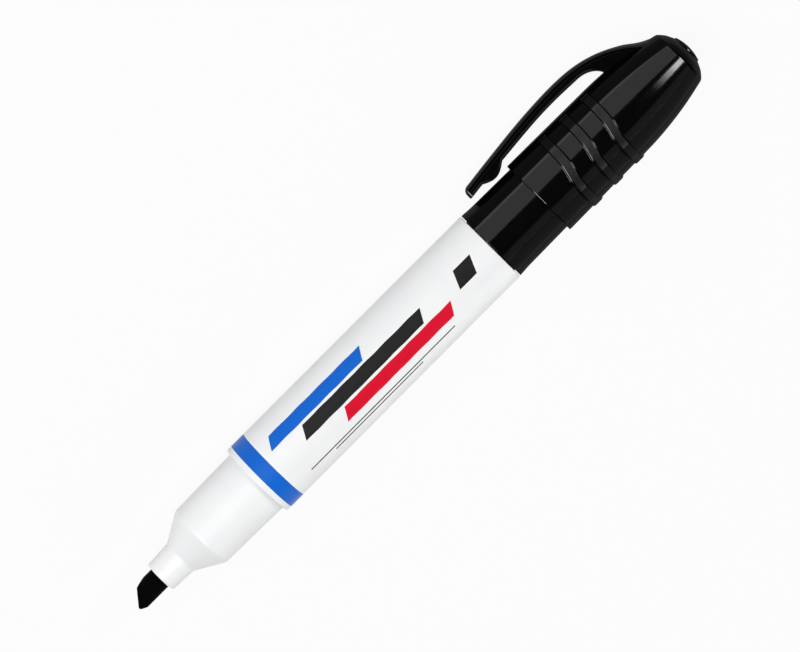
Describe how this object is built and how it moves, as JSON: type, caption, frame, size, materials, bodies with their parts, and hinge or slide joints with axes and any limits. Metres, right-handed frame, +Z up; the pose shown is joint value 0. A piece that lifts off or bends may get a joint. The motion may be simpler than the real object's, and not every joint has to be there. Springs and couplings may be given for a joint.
{
  "type": "felt tip marker",
  "caption": "Chisel nib felt tip marker with a white barrel and a black ribbed clip cap posted on its tail, which pulls off.",
  "frame": {"origin": "point on the table under the middle of the marker's box as it lies on its side", "axes": "+X along the marker's axis towards the nib, +Z up, the clip towards -Y with its edge on the table"},
  "size_m": [0.1474, 0.0215, 0.0172],
  "materials": {
    "white_plastic": "smooth moulded white polypropylene, printed on the barrel",
    "black_plastic": "glossy moulded black polypropylene",
    "black_felt": "pressed fibre soaked with black ink",
    "inked_fibre": "bundled fibre soaked with black ink",
    "clear_film": "thin clear plastic film",
    "soft_white_plastic": "soft natural polyethylene"
  },
  "bodies": {
    "marker_body": {"barrel": "white_plastic", "tip_holder": "white_plastic", "nib": "black_felt", "ink_reservoir": "inked_fibre", "reservoir_film": "clear_film", "tail_plug": "black_plastic"},
    "cap": {"cap_shell": "black_plastic", "inner_seal_cup": "soft_white_plastic"},
    "clip": {"pocket_clip": "black_plastic"}
  },
  "joints": [
    {"name": "cap_pull", "type": "slide", "parent": "marker_body", "child": "cap", "axis": [-1, 0, 0], "range_m": [0, 0.03]},
    {"name": "clip_flex", "type": "hinge", "parent": "cap", "child": "clip", "pos_m": [-0.057, -0.00788, 0.00329], "axis": [0, 0.4703, -0.8825], "range_deg": [0, 6], "stiffness_Nm_per_rad": 0.3}
  ]
}
